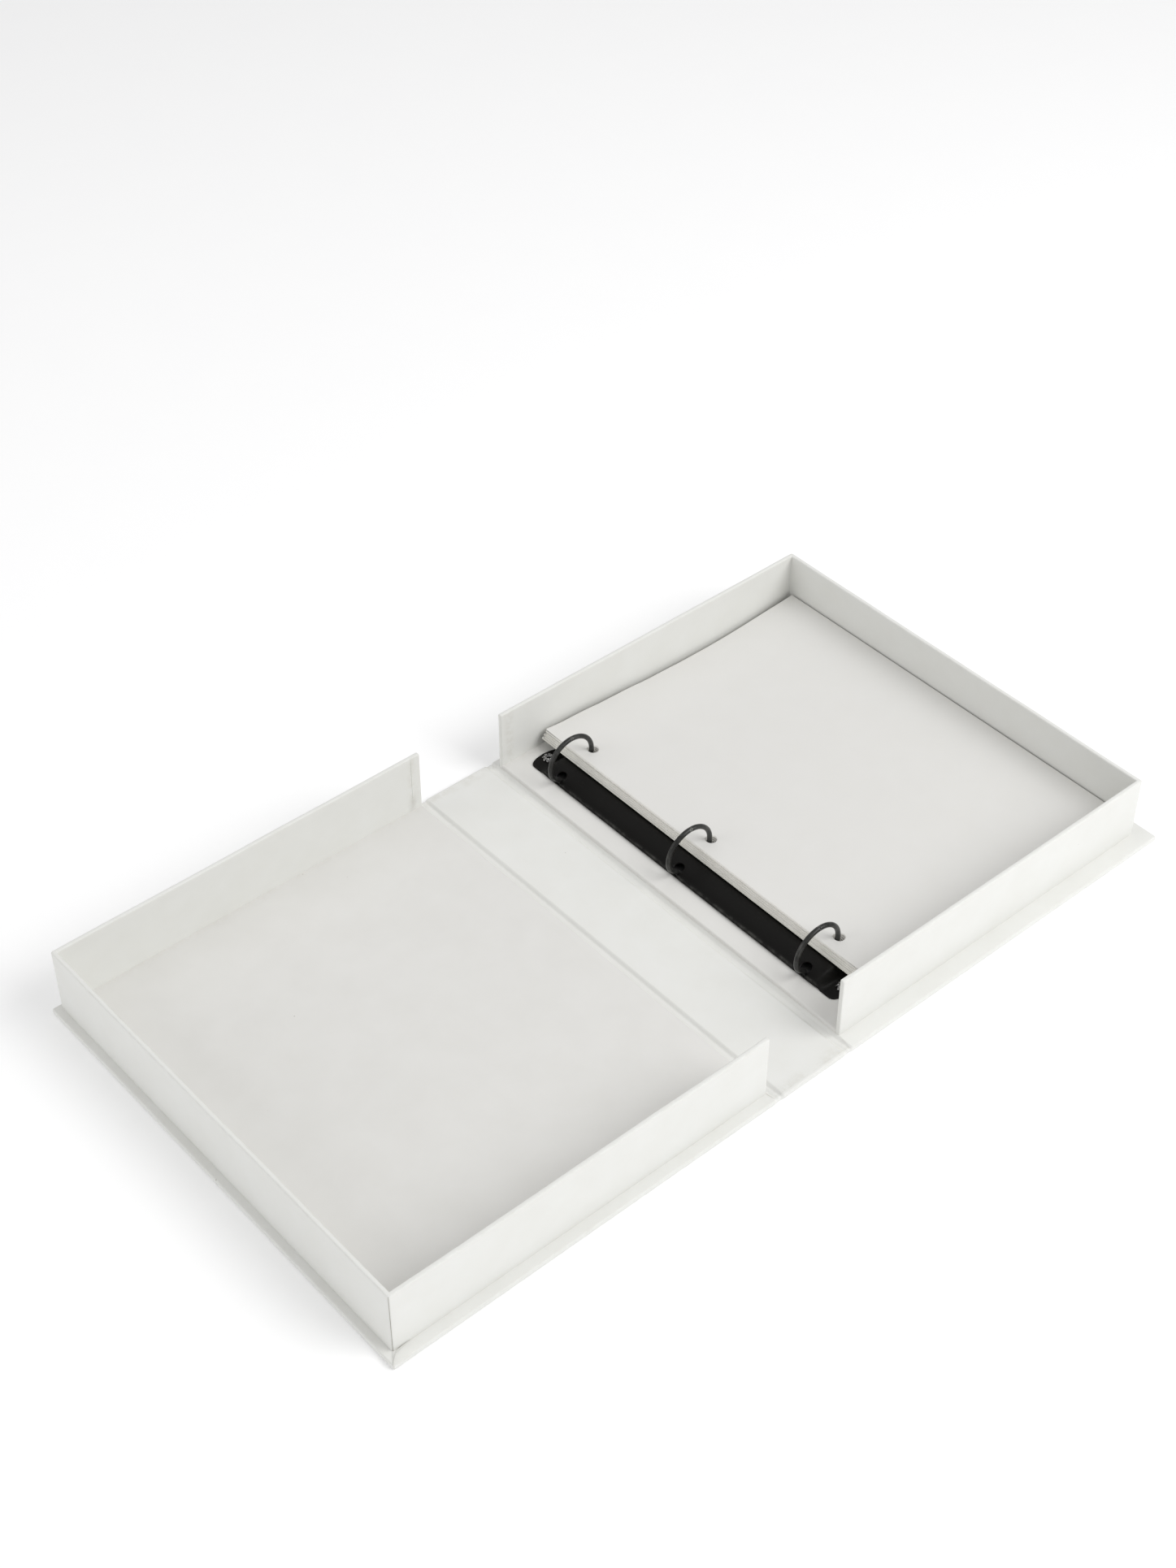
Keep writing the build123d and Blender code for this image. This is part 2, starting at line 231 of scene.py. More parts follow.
def thicken(points, faces, drop):
    """A closed solid from an open surface: its copy lies drop below, and walls join the borders."""
    count = len(points)
    seen = {}
    for face in faces:
        for k in range(len(face)):
            a, b = face[k], face[(k + 1) % len(face)]
            seen[(a, b)] = True
    rim = [(a, b) for a, b in seen if (b, a) not in seen]
    lower = [Vector(p) - Vector(drop) for p in points]
    solid = list(faces) + [tuple(count + v for v in reversed(face)) for face in faces]
    first_wall = len(solid)
    solid += [(b, a, a + count, b + count) for a, b in rim]
    return [Vector(p) for p in points] + lower, solid, range(first_wall, len(solid))


def finish_piece(piece, nodes=(), body=None, bend=None):
    """Hides the CAD nodes a piece stands for, attaches it to the body it moves with, and bakes its placement into
    its mesh when a bend is given.
    """
    if nodes:
        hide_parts(*nodes)
    if body:
        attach(piece, body)
    if bend:
        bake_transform(piece)
    return piece


# ================================================================ shader helpers
def node_group(name, inputs, outputs):
    group = bpy.data.node_groups.new(name, "ShaderNodeTree")
    for label, value in inputs:
        socket = group.interface.new_socket(label, in_out="INPUT", socket_type="NodeSocketFloat")
        socket.default_value = value
    for label in outputs:
        group.interface.new_socket(label, in_out="OUTPUT", socket_type="NodeSocketFloat")
    return group, group.nodes.new("NodeGroupInput"), group.nodes.new("NodeGroupOutput")


def texture(tree, kind, scale, place, **settings):
    """A procedural texture in the object's own space, in millimetres."""
    pattern = tree.nodes.new(kind)
    for label, value in settings.items():
        pattern.inputs[label.replace("_", " ").title()].default_value = value
    if isinstance(scale, (int, float)):
        pattern.inputs["Scale"].default_value = scale
    else:
        tree.links.new(scale, pattern.inputs["Scale"])
    tree.links.new(place, pattern.inputs["Vector"])
    return pattern


def place_mm(tree, stretch=(1, 1, 1)):
    where = tree.nodes.new("ShaderNodeTexCoord")
    size = tree.nodes.new("ShaderNodeVectorMath")
    size.operation = "MULTIPLY"
    size.inputs[1].default_value = [s / MM for s in stretch]
    tree.links.new(where.outputs["Object"], size.inputs[0])
    return size.outputs[0]


def calc(tree, operation, first, second=0.0):
    step = tree.nodes.new("ShaderNodeMath")
    step.operation = operation
    for index, value in enumerate((first, second)):
        if isinstance(value, (int, float)):
            step.inputs[index].default_value = value
        else:
            tree.links.new(value, step.inputs[index])
    return step.outputs[0]


def window(tree, value, low, high, to_low=0.0, to_high=1.0):
    """value stretched so that low..high becomes to_low..to_high, clamped."""
    step = tree.nodes.new("ShaderNodeMapRange")
    for label, number in (("From Min", low), ("From Max", high), ("To Min", to_low), ("To Max", to_high)):
        step.inputs[label].default_value = number
    tree.links.new(value, step.inputs["Value"])
    return step.outputs["Result"]


def tint(tree, mask, first, second):
    """Colour that goes from first to second as mask goes from 0 to 1."""
    mix = tree.nodes.new("ShaderNodeMix")
    mix.data_type = "RGBA"
    for socket, value in ((mix.inputs["A"], first), (mix.inputs["B"], second)):
        if isinstance(value, tuple):
            socket.default_value = (*value, 1)
        else:
            tree.links.new(value, socket)
    tree.links.new(mask, mix.inputs["Factor"])
    return mix.outputs["Result"]


def fibre_group():
    """Pressed paper: fine felt marks, short fibres and a cloudy formation."""
    group, inlet, outlet = node_group(
        "Paper fibre", [("Felt Size", 2.2), ("Cloud Size", 0.05)], ["Height", "Cloud", "Fibres"]
    )
    place = place_mm(group)
    felt_size = inlet.outputs["Felt Size"]
    cloud_size = inlet.outputs["Cloud Size"]
    felt = texture(group, "ShaderNodeTexNoise", felt_size, place, detail=5.0, roughness=0.65)
    cloud = texture(group, "ShaderNodeTexNoise", cloud_size, place, detail=4.0, roughness=0.55)
    along = place_mm(group, (0.35, 1.6, 1.0))
    strands = texture(group, "ShaderNodeTexNoise", 1.1, along, detail=3.0, roughness=0.5, distortion=1.5)
    fibres = window(group, strands.outputs["Fac"], 0.60, 0.72)
    height = calc(group, "ADD", felt.outputs["Fac"], calc(group, "MULTIPLY", fibres, 0.35))
    group.links.new(height, outlet.inputs["Height"])
    group.links.new(window(group, cloud.outputs["Fac"], 0.3, 0.7), outlet.inputs["Cloud"])
    group.links.new(fibres, outlet.inputs["Fibres"])
    return group


def wear_and_sheen_group():
    """Broken-up marks on bends, and a few small specks: abrasion on paper, a painted highlight on steel."""
    group, inlet, outlet = node_group("Wear and sheen", [("Rub", 0.6), ("Specks", 0.5)], ["Rubbed", "Speck"])
    bends = group.nodes.new("ShaderNodeAttribute")
    bends.attribute_name = "bend_wear_and_sheen"
    place = place_mm(group)
    patches = texture(group, "ShaderNodeTexNoise", 0.16, place, detail=6.0, roughness=0.7)
    broken = window(group, patches.outputs["Fac"], 0.42, 0.68)
    patchy_bend_marks = calc(group, "MULTIPLY", bends.outputs["Fac"], broken)
    scaled_bend_marks = calc(group, "MULTIPLY", patchy_bend_marks, inlet.outputs["Rub"])
    cells = texture(group, "ShaderNodeTexVoronoi", 0.035, place, randomness=1.0)
    dots = window(group, cells.outputs["Distance"], 0.012, 0.022, 1.0, 0.0)
    group.links.new(scaled_bend_marks, outlet.inputs["Rubbed"])
    group.links.new(calc(group, "MULTIPLY", dots, inlet.outputs["Specks"]), outlet.inputs["Speck"])
    return group


def coated_steel_group():
    """Black coated steel: a fine orange peel, light brushing along the length, dust in patches."""
    group, inlet, outlet = node_group("Coated steel", [("Peel Size", 3.0)], ["Height", "Dust", "Scuff"])
    place = place_mm(group)
    lengthways = place_mm(group, (1.0, 0.04, 1.0))
    peel_size = inlet.outputs["Peel Size"]
    peel = texture(group, "ShaderNodeTexNoise", peel_size, place, detail=3.0, roughness=0.55)
    drawn = texture(group, "ShaderNodeTexNoise", 2.4, lengthways, detail=4.0, roughness=0.6)
    motes = texture(group, "ShaderNodeTexVoronoi", 1.1, place, randomness=1.0)
    drifts = texture(group, "ShaderNodeTexNoise", 0.12, place, detail=4.0)
    dots = window(group, motes.outputs["Distance"], 0.05, 0.12, 1.0, 0.0)
    dust = calc(group, "MULTIPLY", dots, window(group, drifts.outputs["Fac"], 0.48, 0.7))
    height = calc(group, "ADD", peel.outputs["Fac"], calc(group, "MULTIPLY", drawn.outputs["Fac"], 0.5))
    group.links.new(height, outlet.inputs["Height"])
    group.links.new(dust, outlet.inputs["Dust"])
    group.links.new(window(group, drawn.outputs["Fac"], 0.55, 0.8), outlet.inputs["Scuff"])
    return group


fibre = fibre_group()
wear_and_sheen = wear_and_sheen_group()
coated_steel = coated_steel_group()


def new_finish(name, roughness, specular=0.5, metallic=0.0, coat=0.0, coat_roughness=0.2):
    material = bpy.data.materials.new(name)
    material.use_nodes = True
    tree = material.node_tree
    shader = tree.nodes["Principled BSDF"]
    shader.inputs["Roughness"].default_value = roughness
    shader.inputs["Specular IOR Level"].default_value = specular
    shader.inputs["Metallic"].default_value = metallic
    shader.inputs["Coat Weight"].default_value = coat
    shader.inputs["Coat Roughness"].default_value = coat_roughness
    return material, tree, shader


def placed(tree, group, **values):
    node = tree.nodes.new("ShaderNodeGroup")
    node.node_tree = group
    for label, value in values.items():
        node.inputs[label.replace("_", " ").title()].default_value = value
    return node


def raise_bump(tree, shader, height, distance_mm, strength):
    bump = tree.nodes.new("ShaderNodeBump")
    bump.inputs["Distance"].default_value = distance_mm * MM
    bump.inputs["Strength"].default_value = strength
    tree.links.new(height, bump.inputs["Height"])
    tree.links.new(bump.outputs["Normal"], shader.inputs["Normal"])


def paper_finish(name, light, shade, rub_colour, rub, specks, felt, bump_mm, roughness):
    """Uncoated or lightly sized paper: clouded colour, abraded bends, felt marks in relief."""
    material, tree, shader = new_finish(name, roughness, specular=0.32)
    surface = placed(tree, fibre, felt_size=felt)
    wear_and_sheen_marks = placed(tree, wear_and_sheen, rub=rub, specks=specks)
    colour = tint(tree, surface.outputs["Cloud"], light, shade)
    colour = tint(tree, wear_and_sheen_marks.outputs["Rubbed"], colour, rub_colour)
    colour = tint(tree, wear_and_sheen_marks.outputs["Speck"], colour, (0.32, 0.29, 0.24))
    tree.links.new(colour, shader.inputs["Base Color"])
    gloss = window(tree, surface.outputs["Fibres"], 0.0, 1.0, roughness, roughness - 0.1)
    tree.links.new(gloss, shader.inputs["Roughness"])
    raise_bump(tree, shader, surface.outputs["Height"], bump_mm, 0.55)
    return material


def steel_finish(name, colour, scuff_colour, roughness, metallic, coat, peel, specular=0.3):
    material, tree, shader = new_finish(name, roughness, specular, metallic, coat, 0.28)
    surface = placed(tree, coated_steel, peel_size=peel)
    scuffed = calc(tree, "MULTIPLY", surface.outputs["Scuff"], 0.35)
    tinted = tint(tree, scuffed, colour, scuff_colour)
    # Lighter colour on bends: a painted highlight along the ring cover's rolled bead and the rivet petals' edges,
    # standing partly for coating scraped bare there.
    wear_and_sheen_marks = placed(tree, wear_and_sheen, rub=0.8, specks=0.0)
    tinted = tint(tree, wear_and_sheen_marks.outputs["Rubbed"], tinted, tuple(min(0.5, 6 * c) for c in scuff_colour))
    tinted = tint(tree, calc(tree, "MULTIPLY", surface.outputs["Dust"], 0.25), tinted, (0.30, 0.29, 0.27))
    tree.links.new(tinted, shader.inputs["Base Color"])
    dull = window(tree, surface.outputs["Scuff"], 0.0, 1.0, roughness, roughness + 0.14)
    tree.links.new(dull, shader.inputs["Roughness"])
    raise_bump(tree, shader, surface.outputs["Height"], 0.03, 0.4)
    return material


covering_paper = paper_finish(
    "white covering paper", (0.785, 0.787, 0.762), (0.765, 0.765, 0.735), (0.60, 0.58, 0.52),
    rub=0.55, specks=0.5, felt=2.0, bump_mm=0.05, roughness=0.58,
)
lining_paper = paper_finish(
    "white lining paper", (0.745, 0.738, 0.715), (0.725, 0.717, 0.692), (0.62, 0.60, 0.55),
    rub=0.35, specks=0.6, felt=2.4, bump_mm=0.04, roughness=0.62,
)
sheet_paper = paper_finish(
    "uncoated sheet", (0.735, 0.728, 0.706), (0.725, 0.717, 0.693), (0.72, 0.70, 0.64),
    rub=0.25, specks=0.0, felt=3.5, bump_mm=0.02, roughness=0.7,
)
# The cut edges: a cream tone, made much lighter than the same sheets' faces as painted light on the stack's sides.
lightened_sheet_edges = paper_finish(
    "cut sheet edges painted lighter", (0.93, 0.91, 0.85), (0.86, 0.84, 0.78), (0.72, 0.69, 0.62), 0.3, 0.0, 6.0, 0.03, 0.78
)
grey_board = paper_finish(
    "grey board", (0.50, 0.48, 0.44), (0.43, 0.41, 0.37), (0.34, 0.32, 0.28), 0.5, 0.6, 1.2, 0.08, 0.85
)
levelling_card = paper_finish(
    "levelling card", (0.78, 0.77, 0.74), (0.74, 0.73, 0.69), (0.60, 0.58, 0.53), 0.3, 0.3, 1.6, 0.05, 0.75
)
black_steel = steel_finish(
    "black coated steel", (0.0050, 0.0047, 0.0042), (0.012, 0.012, 0.011),
    roughness=0.40, metallic=0.0, coat=0.0, peel=3.0, specular=0.11,
)
ring_steel = steel_finish("ring wire", (0.019, 0.019, 0.018), (0.06, 0.06, 0.056), 0.30, 0.30, 0.12, 5.0)
rivet_steel = steel_finish("blackened rivet", (0.14, 0.135, 0.13), (0.36, 0.35, 0.33), 0.22, 0.9, 0.3, 4.0)
blade_steel = steel_finish("rolled blade steel", (0.12, 0.12, 0.12), (0.20, 0.20, 0.20), 0.40, 0.85, 0.0, 2.0)

cad_finishes = {
    "board": grey_board,
    "card": levelling_card,
    "cover_paper": covering_paper,
    "floor_paper": lining_paper,
    "sheet_stack": sheet_paper,
    "top_sheet": sheet_paper,
    "black_steel": black_steel,
    "rivet_steel": rivet_steel,
    "blade_steel": blade_steel,
    "ring_wire": ring_steel,
}
for subpart in frame["record"]["subparts"]:
    cad_mesh = frame["nodes"][subpart["node"]].data
    cad_mesh.materials.clear()
    cad_mesh.materials.append(cad_finishes[subpart["material_slot"]])


# ================================================================ case covering and lining
def joint_dip(out):
    """1 at the bottom of a joint, 0 on the boards either side."""
    down = smooth((out - spine_high.x + 0.6) / 2.6)
    up = smooth((out - cover_board_low.x + 2.2) / 2.4)
    return max(0.0, down - up)


def case_height(out, y):
    """Top of the covering; at the case's ends a joint is pinched almost level, with a small fold."""
    pinch = smooth((abs(y) - case_half + 11) / 9)
    dip = joint_dip(out)
    floor = lerp(joint_floor, joint_floor + 0.85, pinch)
    fold = 0.35 * pinch * math.exp(-(((out - axis_out) / 0.9) ** 2))
    return lerp(case_top, floor, dip) + fold * dip


def edge_inset(distance, radius):
    """How far a rounded edge has drawn in at a distance from it."""
    if distance >= radius:
        return 0.0
    return radius - math.sqrt(max(0.0, radius**2 - (radius - distance) ** 2))


def covering_section(out, sign):
    """One closed ring across the case: underside towards the head, then back over the top."""
    to_edge = case_edge - out
    lift = edge_inset(to_edge, edge_round)
    half = case_half - edge_inset(to_edge, case_corner) - 0.45 * joint_dip(out)
    low = lift
    thick = case_height(out, case_half) - 2 * lift
    turn = min(edge_round, thick / 2)
    quarter = [math.radians(a) for a in (0, 22, 45, 68, 90)]
    lower = [(-half + turn - turn * math.cos(a), low + turn - turn * math.sin(a)) for a in quarter]
    lower += [(y, low) for y in spread(-half + turn, half - turn, 41)[1:-1]]
    lower += [(half - turn + turn * math.sin(a), low + turn - turn * math.cos(a)) for a in quarter]
    ring = [(sign * out, y, z) for y, z in lower]
    for y, z in reversed(lower):
        inside = smooth((half - abs(y)) / (2 * turn))
        top = lerp(low + thick, case_height(out, y) - lift, inside)
        wave = inside * ripple(sign * out, y, 1, 38, 0.05)
        ring.append((sign * out, y, top - (z - low) + wave))
    return ring


def case_stations():
    joint = spread(spine_high.x - 1.2, cover_board_low.x + 1.2, 29)
    flat_cover = spread(cover_board_low.x + 4, case_edge - edge_round, 34)
    rim = [case_edge - edge_round * (1 - math.sin(math.radians(a))) for a in (15, 32, 48, 62, 75, 90)]
    return spread(0, spine_high.x - 3, 5) + joint + flat_cover + rim


def bend_span(sign):
    """The stretch of a joint that bends, as its start and end points."""
    reach = 2.6
    return [Vector((sign * (axis_out + side * reach), 0, axis_z)) * MM for side in (-1, 1)]


def outer_covering(side, sign, body):
    points, faces = closed_loft([covering_section(out, sign) for out in case_stations()])
    piece = make_piece(f"{side}_covering", points, faces, [covering_paper])
    start, end = bend_span(sign)
    nodes = [f"{side}_outer_wrap"] + (["spine_outer_wrap"] if sign > 0 else [])
    return finish_piece(piece, nodes, bend=("spine", body, start, end))


def inner_lining(side, sign, body):
    half = case_half - lining_setback
    outs = spread(0, spine_high.x - 3, 4) + spread(spine_high.x - 1.2, cover_board_low.x + 1.2, 29)
    outs += spread(cover_board_low.x + 4, cover_board_low.x + lining_flap, 3)
    rows = spread(-half, half, 43)
    tray_low, tray_high = box_mm(f"{side}_wall_paper")
    points = []
    for out in outs:
        tucked = smooth((out - cover_board_low.x + 1.5) / 2.5)
        for row in rows:
            y = lerp(row, lerp(tray_low.y + 1.5, tray_high.y - 1.5, (row + half) / (2 * half)), tucked)
            lift = lining_proud + ripple(sign * out, y, 1, 38, 0.05)
            points.append((sign * out, y, case_height(out, y) + lift))
    points, faces, _ = thicken(points, grid(len(outs), len(rows)), (0, 0, 0.3))
    piece = make_piece(f"{side}_hinge_lining", points, faces, [covering_paper])
    start, end = bend_span(sign)
    nodes = [f"{side}_hinge_flap"] + (["spine_liner"] if sign > 0 else [])
    return finish_piece(piece, nodes, bend=("spine", body, start, end))


# ================================================================ trays
def wall_plan(side, sign):
    """Inner and outer points along the three walls, from the tail's free end round to the head's."""
    low, high = box_mm(f"{side}_wall_paper")
    near, far = sorted((abs(low.x), abs(high.x)))
    inner_round = 0.4
    stations = []
    ends = [0.0, 0.12, 0.35, 0.65, 1.0, end_turn_in - 0.15, end_turn_in]

    def leg(head_side):
        y_out = high.y if head_side else low.y
        y_in = y_out - wall_thick if head_side else y_out + wall_thick
        run = ends + spread(end_turn_in + 4, far - near - corner_round - wall_thick, 34)
        run += [far - near - corner_round]
        leg_points = []
        for d in run:
            share = min(1.0, d / (far - near - corner_round))
            inner_x = near + share * (far - near - wall_thick - inner_round)
            inner_x = near + d if d <= end_turn_in else inner_x
            leg_points.append(((inner_x, y_in), (near + d, y_out), d))
        return leg_points

    def corner(head_side):
        sense = 1 if head_side else -1
        y_out = high.y if head_side else low.y
        points = []
        split = side == "left" and not head_side
        middle = math.radians(45)
        for a in (15, 30, 38, 45, 52, 60, 75):
            a = math.radians(a)
            outer = (
                far - corner_round + corner_round * math.sin(a),
                y_out - sense * (corner_round - corner_round * math.cos(a)),
            )
            inner = (
                far - wall_thick - inner_round + inner_round * math.sin(a),
                y_out - sense * (wall_thick + inner_round - inner_round * math.cos(a)),
            )
            points.append((inner, outer, corner_mark if a == middle and split else 99.0))
        return points

    stations += leg(False)
    stations += corner(False)
    for y in spread(low.y + corner_round, high.y - corner_round, 40):
        reach = (y - low.y - corner_round) / (high.y - low.y - 2 * corner_round)
        gap = wall_thick + inner_round
        inner_y = lerp(low.y + gap, high.y - gap, reach)
        stations.append(((far - wall_thick, inner_y), (far, y), 99.0))
    stations += reversed(corner(True))
    stations += reversed(leg(True))
    return stations, low.z, high.z


def wall_profile(height):
    """Share across the wall, height, and how free the wall is to waver, up one face and down the other."""
    share = wall_round / wall_thick
    face = [height * k for k in (0, 0.02, 0.2, 0.4, 0.6, 0.8)] + [height - 3, height - wall_round]
    turn = [math.radians(a) for a in (22, 45, 68, 90)]
    half = [(0.0, z) for z in face]
    half += [(share * (1 - math.cos(a)), height - wall_round + wall_round * math.sin(a)) for a in turn]
    return half + [(1 - s, z) for s, z in reversed(half)]


def tray_walls(side, sign, body, seed):
    """The covered walls of a tray: soft tops, slight waver, and turned-in free ends."""
    stations, base, top = wall_plan(side, sign)
    height = top - base
    profile = wall_profile(height)
    rings = []
    for inner, outer, from_end in stations:
        inner, outer = Vector(inner), Vector(outer)
        across = (outer - inner).normalized()
        squeeze = edge_inset(from_end, edge_round)
        ring = []
        for share, z in profile:
            facing = 1 if share < 0.5 else -1
            place = inner.lerp(outer, share)
            place += across * squeeze * (1 - 2 * share) * 0.98
            if from_end < end_turn_in - 0.1 and z > 1 and share < 0.5:
                place -= across * turn_in_proud * facing
            high = z / height
            if from_end == corner_mark and share > 0.5 and z < height - 1.2:
                place -= across * seam_depth
            waver = ripple(outer.x, outer.y, seed, 70, 0.35) * high**1.5
            waver += ripple(outer.x, outer.y + z, seed + 1, 22, 0.08) * min(1.0, z / 4)
            place += across * waver
            rise = z - squeeze * high * 0.8 + ripple(outer.x, outer.y, seed + 2, 45, 0.12) * high**4
            ring.append((sign * place.x, place.y, base + min(rise, height)))
        rings.append(ring)
    points, faces = closed_loft(rings)
    piece = make_piece(f"{side}_tray_wall_cover", points, faces, [covering_paper])
    return finish_piece(piece, [f"{side}_wall_paper"], body=body)


def tray_floor(side, sign, body, seed):
    """Lined tray floor: its edge towards the spine is rounded over and runs down to the case."""
    low, high = box_mm(f"{side}_floor_liner")
    near, far = sorted((abs(low.x), abs(high.x)))
    turn = 1.1
    quarter = [math.radians(a) for a in (0, 15, 30, 45, 60, 75, 90)]
    outs = [(near, low.z), (near, lerp(low.z, high.z, 0.35))]
    outs += [(near + turn - turn * math.cos(a), high.z - turn + turn * math.sin(a)) for a in quarter]
    outs += [(out, high.z) for out in spread(near + 4, far - 0.3, 40)]
    lower = [(out, low.z) for out, _ in reversed(outs)]
    lower[-1] = (near + 0.5, low.z)
    rings = []
    for y in spread(low.y, high.y, 46):
        ring = []
        for out, z in outs:
            inside = smooth((out - near - turn) / 20)
            edge_wave = (1 - inside) * ripple(0, y, seed + 3, 30, 0.12)
            sag = inside * ripple(sign * out, y, seed, 60, 0.09)
            ring.append((sign * (out - edge_wave), y, z + sag if z > low.z else z))
        ring += [(sign * out, y, z) for out, z in lower]
        rings.append(ring)
    points, faces = closed_loft(rings)
    piece = make_piece(f"{side}_tray_floor_lining", points, faces, [lining_paper])
    return finish_piece(piece, [f"{side}_floor_liner"], body=body)


def lifted_corner():
    """The covering's mitred turn-in at the left cover's tail corner: split, and curled off the board."""
    tray_low = box_mm("left_wall_paper")[0]
    foot = Vector((tray_low.x, tray_low.y))
    along = Vector((tray_low.x + split_run, tray_low.y - 0.2))
    tip = Vector((0.2 - case_edge, 0.3 - case_half))
    steps = 12
    points = []
    for i in range(steps + 1):
        u = i / steps
        start = foot.lerp(tip, u)
        bow = math.sin(math.pi * u) * 2.3
        end = along.lerp(tip, u) + Vector((-0.62, 0.78)) * bow
        for j in range(9):
            v = j / 8
            place = start.lerp(end, v)
            curl = 1.15 * v**2.2 * (0.35 + 0.65 * math.sin(math.pi * min(1.0, u * 1.1)))
            frayed = 0.12 * noise.noise(Vector((u * 9, v * 4, 3.7))) * v
            points.append((place.x, place.y, case_top + 0.34 + curl + frayed))
    points, faces, _ = thicken(points, grid(steps + 1, 9), (0, 0, 0.3))
    piece = make_piece("left_corner_turn_in", points, faces, [covering_paper])
    return finish_piece(piece, body="lid_tray")


# ================================================================ sheets
def rest_height():
    """Underside of the lowest sheet along X, read from the CAD stack and smoothed."""
    vertices = frame["nodes"]["page_bundle_1"].data.vertices
    lowest = {}
    for vertex in vertices:
        x, z = round(vertex.co.x / MM, 1), vertex.co.z / MM
        lowest[x] = min(z, lowest.get(x, z))
    known = sorted(lowest.items())

    def height(x):
        """Distance-weighted straight-line fit of the nearby underside."""
        near = [(px, pz, math.exp(-(((px - x) / 9.0) ** 2))) for px, pz in known]
        total = sum(w for _, _, w in near)
        mean_x = sum(px * w for px, _, w in near) / total
        mean_z = sum(pz * w for _, pz, w in near) / total
        spread_x = sum(w * (px - mean_x) ** 2 for px, _, w in near)
        tilt = sum(w * (px - mean_x) * (pz - mean_z) for px, pz, w in near) / max(spread_x, 1e-6)
        return mean_z + tilt * (x - mean_x)

    return height


def punched_plan(width, height, hole_rows):
    """Plan of one punched sheet: a grid with a ring of faces round each hole."""
    cell = hole_inset
    steps = 6
    xs = spread(0, 2 * cell, steps + 1) + spread(2 * cell, width, 27)[1:]
    ys = [-height / 2]
    for row in hole_rows:
        gap = max(2, round((row - cell - ys[-1]) / 11) + 1)
        ys += spread(ys[-1], row - cell, gap)[1:]
        ys += spread(row - cell, row + cell, steps + 1)[1:]
    ys += spread(ys[-1], height / 2, 3)[1:]
    index, points, faces = {}, [], []

    def point(x, y):
        key = (round(x, 3), round(y, 3))
        if key not in index:
            index[key] = len(points)
            points.append((x, y))
        return index[key]

    def in_patch(x, y):
        return x < 2 * cell and any(abs(y - row) < cell for row in hole_rows)

    for i in range(len(xs) - 1):
        for j in range(len(ys) - 1):
            if not in_patch((xs[i] + xs[i + 1]) / 2, (ys[j] + ys[j + 1]) / 2):
                faces.append(
                    (
                        point(xs[i], ys[j]),
                        point(xs[i + 1], ys[j]),
                        point(xs[i + 1], ys[j + 1]),
                        point(xs[i], ys[j + 1]),
                    )
                )
    for row in hole_rows:
        side = spread(-cell, cell, steps + 1)
        square = [(cell, t) for t in side] + [(-t, cell) for t in side[1:]]
        square += [(-cell, -t) for t in side[1:]] + [(t, -cell) for t in side[1:-1]]
        for k in range(len(square)):
            loop = []
            for x, y in (square[k], square[(k + 1) % len(square)]):
                away = math.hypot(x, y)
                at_hole = hole_radius / away
                steps_in = [(x * r, y * r) for r in (1.0, lerp(at_hole, 1, 0.35), at_hole)]
                loop.append([point(cell + px, row + py) for px, py in steps_in])
            for m in range(2):
                faces.append((loop[0][m], loop[1][m], loop[1][m + 1], loop[0][m + 1]))
    return points, faces


def one_sheet(plan, binding, middle_y, lift, height_at, lean, curl):
    """The plan laid along the stack's bow, with its own small slip, lean and corner curl."""
    points = []
    for x, y in plan:
        across = x + lean * y
        lay = height_at(binding + x) + lift + sheet_thick
        corner = smooth((abs(y) - 120) / 20) * smooth((14 - x) / 14)
        points.append((binding + across, middle_y + y, lay + curl * corner))
    return points


def sheet_bundles():
    """Five runs of separate punched sheets on the rings, and the top sheet."""
    height_at = rest_height()
    for number in range(1, top_run + 1):
        on_top = number == top_run
        node = "top_sheet" if on_top else f"page_bundle_{number}"
        low, high = box_mm(node)
        width = high.x - low.x
        length = high.y - low.y
        middle_y = (low.y + high.y) / 2
        lift = (number - 1) * run_pitch
        count = 1 if on_top else sheets_per_bundle
        # a run's edges stand a little further along, while its holes stay on the rings
        middle_y += run_shifts[number]
        rows = [turn * ring_pitch + mechanism.y - middle_y for turn in (-1, 0, 1)]
        plan, plan_faces = punched_plan(width, length, rows)
        points, faces, edges = [], [], []
        for s in range(count):
            slip = dice.uniform(-0.1, 0.06)
            shift = dice.uniform(-0.2, 0.2)
            lean = dice.uniform(-0.0006, 0.0006)
            curl = top_curl if on_top else 0.0
            level = lift + s * sheet_pitch
            flat = one_sheet(plan, low.x + slip, middle_y + shift, level, height_at, lean, curl)
            sheet_points, sheet_faces, walls = thicken(flat, plan_faces, (0, 0, sheet_thick))
            base, first = len(points), len(faces)
            points += sheet_points
            faces += [tuple(base + v for v in face) for face in sheet_faces]
            edges += [first + w for w in walls]
        name = "top_sheet_paper" if on_top else f"sheets_{number}"
        piece = make_piece(name, points, faces, [sheet_paper, lightened_sheet_edges], edge_faces=edges)
        finish_piece(piece, [node], body="ring_tray")


# ================================================================ ring mechanism
def cover_shape(along):
    """Half width, rim height, rise and flatness of the ring cover at a distance from its middle."""
    flat = smooth((along - dome_half) / dome_ramp)
    waist = 0.35 * math.exp(-(((along - dome_half - 3.0) / 2.6) ** 2))
    half = lerp(body_half, plate_half, smooth((along - dome_half - 4) / 5)) - waist
    if along > rivet_out:
        half = plate_half * max(0.0, 1 - ((along - rivet_out) / end_round) ** 2.3) ** (1 / 2.3)
    return half, lerp(rim_height, end_rim, flat), lerp(dome_rise, end_rise, flat), flat


